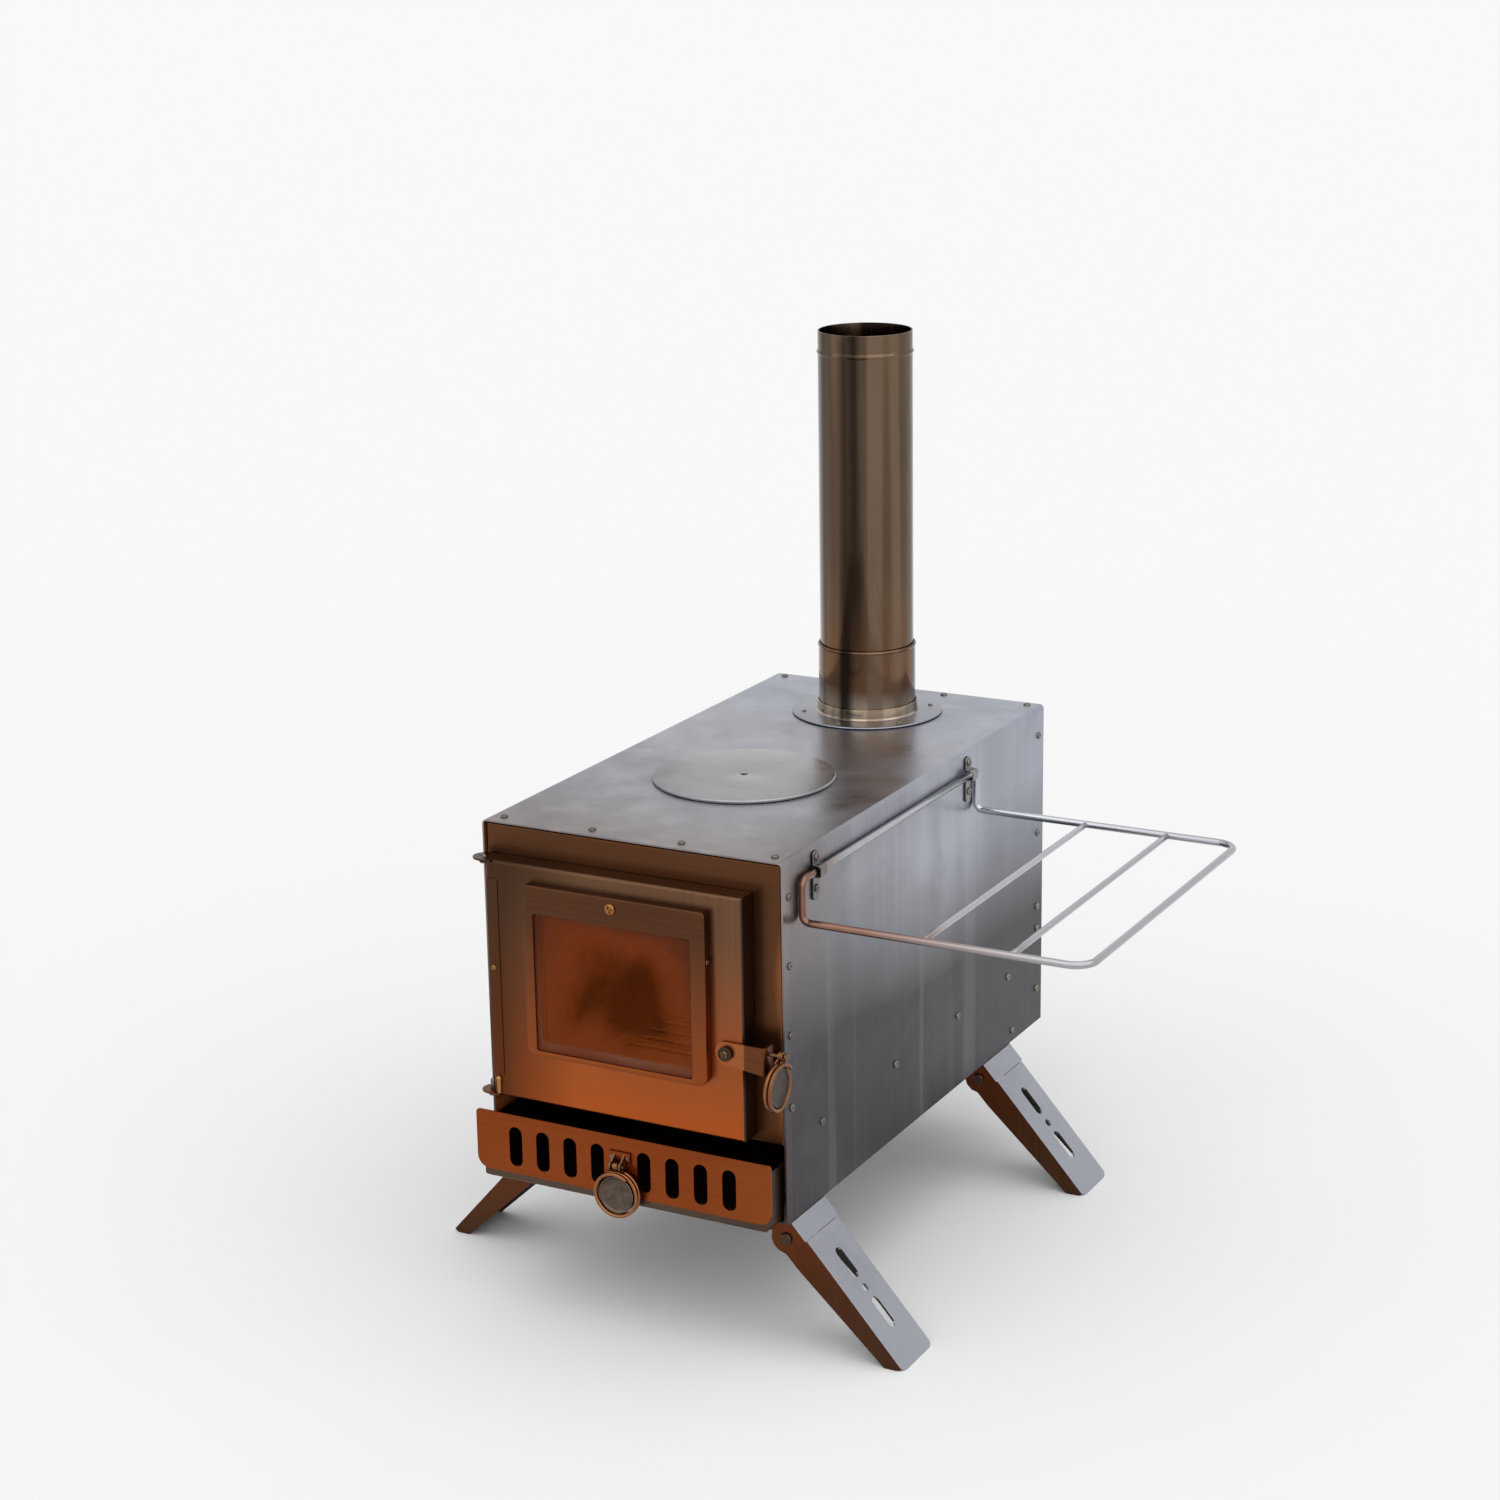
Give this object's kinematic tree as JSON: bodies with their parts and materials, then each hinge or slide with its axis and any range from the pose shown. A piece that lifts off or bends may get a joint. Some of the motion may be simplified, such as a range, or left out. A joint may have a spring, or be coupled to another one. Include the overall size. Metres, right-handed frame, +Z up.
{
  "type": "tent wood stove",
  "caption": "Small folded-steel wood stove for a tent, with fold-out legs, a glazed door, an ash drawer, a lift-out cooking lid, a flue pipe and a fold-over side rack.",
  "frame": {"origin": "on the ground, under the middle of the whole stove with its rack folded out", "axes": "+X to the stove's right, where the rack is; +Y from the door towards the flue; +Z up"},
  "size_m": [0.4688, 0.4206, 0.576],
  "materials": {
    "body_steel": "brushed stainless sheet, grey, fine grain",
    "front_steel": "stainless sheet, heat-tinted brown",
    "door_steel": "stainless sheet, heat-tinted bronze",
    "drawer_steel": "stainless sheet, heat-tinted copper",
    "inside_steel": "stainless sheet, sooted and oxidised",
    "lid_steel": "satin stainless sheet",
    "flue_steel": "polished stainless sheet with a warm heat tint",
    "fitting_steel": "plain stainless",
    "ring_wire": "stainless wire, heat-tinted copper",
    "disc_steel": "plain steel disc, nothing on it",
    "rack_wire": "bright stainless wire",
    "leg_steel": "brushed stainless sheet",
    "window_glass": "clear stove glass",
    "gasket_rope": "flat woven glass-fibre tape"
  },
  "bodies": {
    "stove": {"body_shell": "body_steel", "front_panel": "front_steel", "rear_panel": "body_steel", "bottom_plate": "body_steel", "firebox_floor": "inside_steel", "fire_grate": "inside_steel", "flue_flange": "lid_steel", "flue_sleeve": "flue_steel", "hinge_bracket_upper": "fitting_steel", "hinge_bracket_lower": "fitting_steel", "hinge_pin_upper": "fitting_steel", "hinge_pin_lower": "fitting_steel", "latch_keeper": "fitting_steel", "rack_saddle_front": "fitting_steel", "rack_saddle_rear": "fitting_steel", "leg_bracket_front_right": "leg_steel", "leg_bracket_rear_right": "leg_steel", "leg_bracket_front_left": "leg_steel", "leg_bracket_rear_left": "leg_steel", "leg_pin_front_right": "fitting_steel", "leg_pin_rear_right": "fitting_steel", "leg_pin_front_left": "fitting_steel", "leg_pin_rear_left": "fitting_steel"},
    "door": {"door_pan": "door_steel", "window_frame": "door_steel", "window_glass": "window_glass", "window_gasket": "gasket_rope", "latch_pivot_bolt": "fitting_steel"},
    "latch": {"latch_lever": "door_steel", "latch_pull_pin": "fitting_steel"},
    "latch_pull": {"latch_pull_ring": "ring_wire", "latch_pull_disc": "disc_steel"},
    "drawer": {"drawer_front": "drawer_steel", "drawer_tray": "body_steel", "drawer_pull_eye": "fitting_steel"},
    "drawer_pull": {"drawer_pull_ring": "ring_wire", "drawer_pull_disc": "disc_steel"},
    "lid": {"cooking_lid": "lid_steel"},
    "flue_pipe": {"flue_pipe": "flue_steel"},
    "rack": {"rack_frame": "rack_wire", "rack_bar_inner": "rack_wire", "rack_bar_outer": "rack_wire"},
    "leg_front_right": {"leg_front_right": "leg_steel"},
    "leg_rear_right": {"leg_rear_right": "leg_steel"},
    "leg_front_left": {"leg_front_left": "leg_steel"},
    "leg_rear_left": {"leg_rear_left": "leg_steel"}
  },
  "joints": [
    {"name": "door_swing", "type": "hinge", "parent": "stove", "child": "door", "pos_m": [-0.15404, -0.18773, 0.216], "axis": [0, 0, -1], "range_deg": [0, 120]},
    {"name": "latch_turn", "type": "hinge", "parent": "door", "child": "latch", "pos_m": [0.01696, -0.19563, 0.196], "axis": [0, -1, 0], "range_deg": [0, 45]},
    {"name": "latch_pull_swing", "type": "hinge", "parent": "latch", "child": "latch_pull", "pos_m": [0.04346, -0.19033, 0.198], "axis": [-1, 0, 0], "range_deg": [0, 100]},
    {"name": "drawer_slide", "type": "slide", "parent": "stove", "child": "drawer", "axis": [0, -1, 0], "range_m": [-0.018, 0.2]},
    {"name": "drawer_pull_swing", "type": "hinge", "parent": "drawer", "child": "drawer_pull", "pos_m": [-0.05604, -0.20493, 0.113], "axis": [-1, 0, 0], "range_deg": [-1, 120]},
    {"name": "lid_lift", "type": "slide", "parent": "stove", "child": "lid", "axis": [0, 0, 1], "range_m": [0, 0.06]},
    {"name": "flue_pipe_lift", "type": "slide", "parent": "stove", "child": "flue_pipe", "axis": [0, 0, 1], "range_m": [0, 0.045]},
    {"name": "rack_fold", "type": "hinge", "parent": "stove", "child": "rack", "pos_m": [0.05056, -0.03423, 0.2985], "axis": [0, -1, 0], "range_deg": [0, 180]},
    {"name": "leg_fold_front_right", "type": "hinge", "parent": "stove", "child": "leg_front_right", "pos_m": [0.04444, -0.15223, 0.07288], "axis": [0, 1, 0], "range_deg": [0, 131]},
    {"name": "leg_fold_rear_right", "type": "hinge", "parent": "stove", "child": "leg_rear_right", "pos_m": [0.04444, 0.13277, 0.07288], "axis": [0, 1, 0], "range_deg": [0, 131]},
    {"name": "leg_fold_front_left", "type": "hinge", "parent": "stove", "child": "leg_front_left", "pos_m": [-0.15653, -0.10223, 0.07288], "axis": [0, -1, 0], "range_deg": [0, 131]},
    {"name": "leg_fold_rear_left", "type": "hinge", "parent": "stove", "child": "leg_rear_left", "pos_m": [-0.15653, 0.18277, 0.07288], "axis": [0, -1, 0], "range_deg": [0, 131]}
  ]
}
